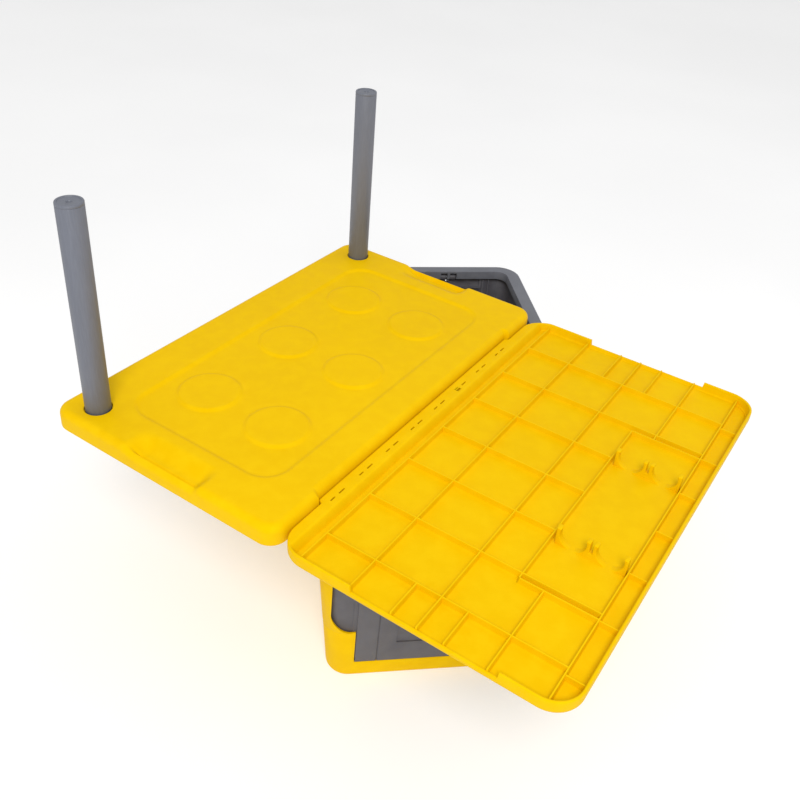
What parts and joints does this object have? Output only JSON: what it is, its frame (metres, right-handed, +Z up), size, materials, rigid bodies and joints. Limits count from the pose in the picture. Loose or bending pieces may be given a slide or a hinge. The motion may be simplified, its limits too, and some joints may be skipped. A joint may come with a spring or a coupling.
{
  "type": "folding storage crate with table lid",
  "caption": "Folding storage crate with a fold-out table lid lying open and upside-down across its rim, and plug-in round legs standing in the leaf.",
  "frame": {"origin": "on the floor under the centre of the crate's base", "axes": "+X across the crate, +Y along the crate, +Z up"},
  "size_m": [0.7446, 0.7377, 0.4925],
  "materials": {
    "yellow_plastic": "moulded, satin",
    "grey_plastic": "moulded, satin",
    "leg_grey": "extruded, satin",
    "steel": "drawn rod"
  },
  "bodies": {
    "crate": {"base_tray": "yellow_plastic", "lower_side_left": "yellow_plastic", "lower_side_right": "yellow_plastic", "upper_side_left": "yellow_plastic", "upper_side_right": "yellow_plastic", "corner_post_front_left": "grey_plastic", "corner_post_front_right": "grey_plastic", "corner_post_rear_left": "grey_plastic", "corner_post_rear_right": "grey_plastic", "rim_frame": "grey_plastic", "side_hinge_rod_left": "steel", "side_hinge_rod_right": "steel", "base_hinge_rod_left": "steel", "base_hinge_rod_right": "steel"},
    "front_panel": {"end_panel_front": "grey_plastic", "end_pivot_pins_front": "steel"},
    "rear_panel": {"end_panel_rear": "grey_plastic", "end_pivot_pins_rear": "steel"},
    "lid": {"lid_tray": "yellow_plastic", "lid_knuckles": "yellow_plastic", "leg_clip_front": "yellow_plastic", "leg_clip_rear": "yellow_plastic", "hinge_pins": "steel"},
    "leaf": {"leaf_shell": "yellow_plastic", "leaf_table_skin": "yellow_plastic", "leaf_knuckles": "yellow_plastic", "leg_socket_front": "yellow_plastic", "leg_socket_rear": "yellow_plastic"},
    "leg_front": {"leg_tube_front": "leg_grey", "leg_cap_front": "leg_grey", "leg_plug_front": "leg_grey"},
    "leg_rear": {"leg_tube_rear": "leg_grey", "leg_cap_rear": "leg_grey", "leg_plug_rear": "leg_grey"}
  },
  "joints": [
    {"name": "lid_lift", "type": "slide", "parent": "crate", "child": "lid", "axis": [0, 0, 1], "range_m": [0, 0.942]},
    {"name": "leaf_fold", "type": "hinge", "parent": "lid", "child": "leaf", "pos_m": [-0.03035, -0.09382, 0.2437], "axis": [-0.6613, -0.7501, 0], "range_deg": [0, 180]},
    {"name": "leg_front_pull", "type": "slide", "parent": "leaf", "child": "leg_front", "axis": [0, 0, 1], "range_m": [0, 0.05]},
    {"name": "leg_rear_pull", "type": "slide", "parent": "leaf", "child": "leg_rear", "axis": [0, 0, 1], "range_m": [0, 0.05]},
    {"name": "front_panel_fold", "type": "hinge", "parent": "crate", "child": "front_panel", "pos_m": [0, -0.243, 0.232], "axis": [1, 0, 0], "range_deg": [0, 85]},
    {"name": "rear_panel_fold", "type": "hinge", "parent": "crate", "child": "rear_panel", "pos_m": [0, 0.243, 0.232], "axis": [-1, 0, 0], "range_deg": [0, 85]}
  ],
  "couplings": [
    {"joint": "leaf_fold", "follows": "lid_lift", "rad_per_m": 3.333}
  ]
}
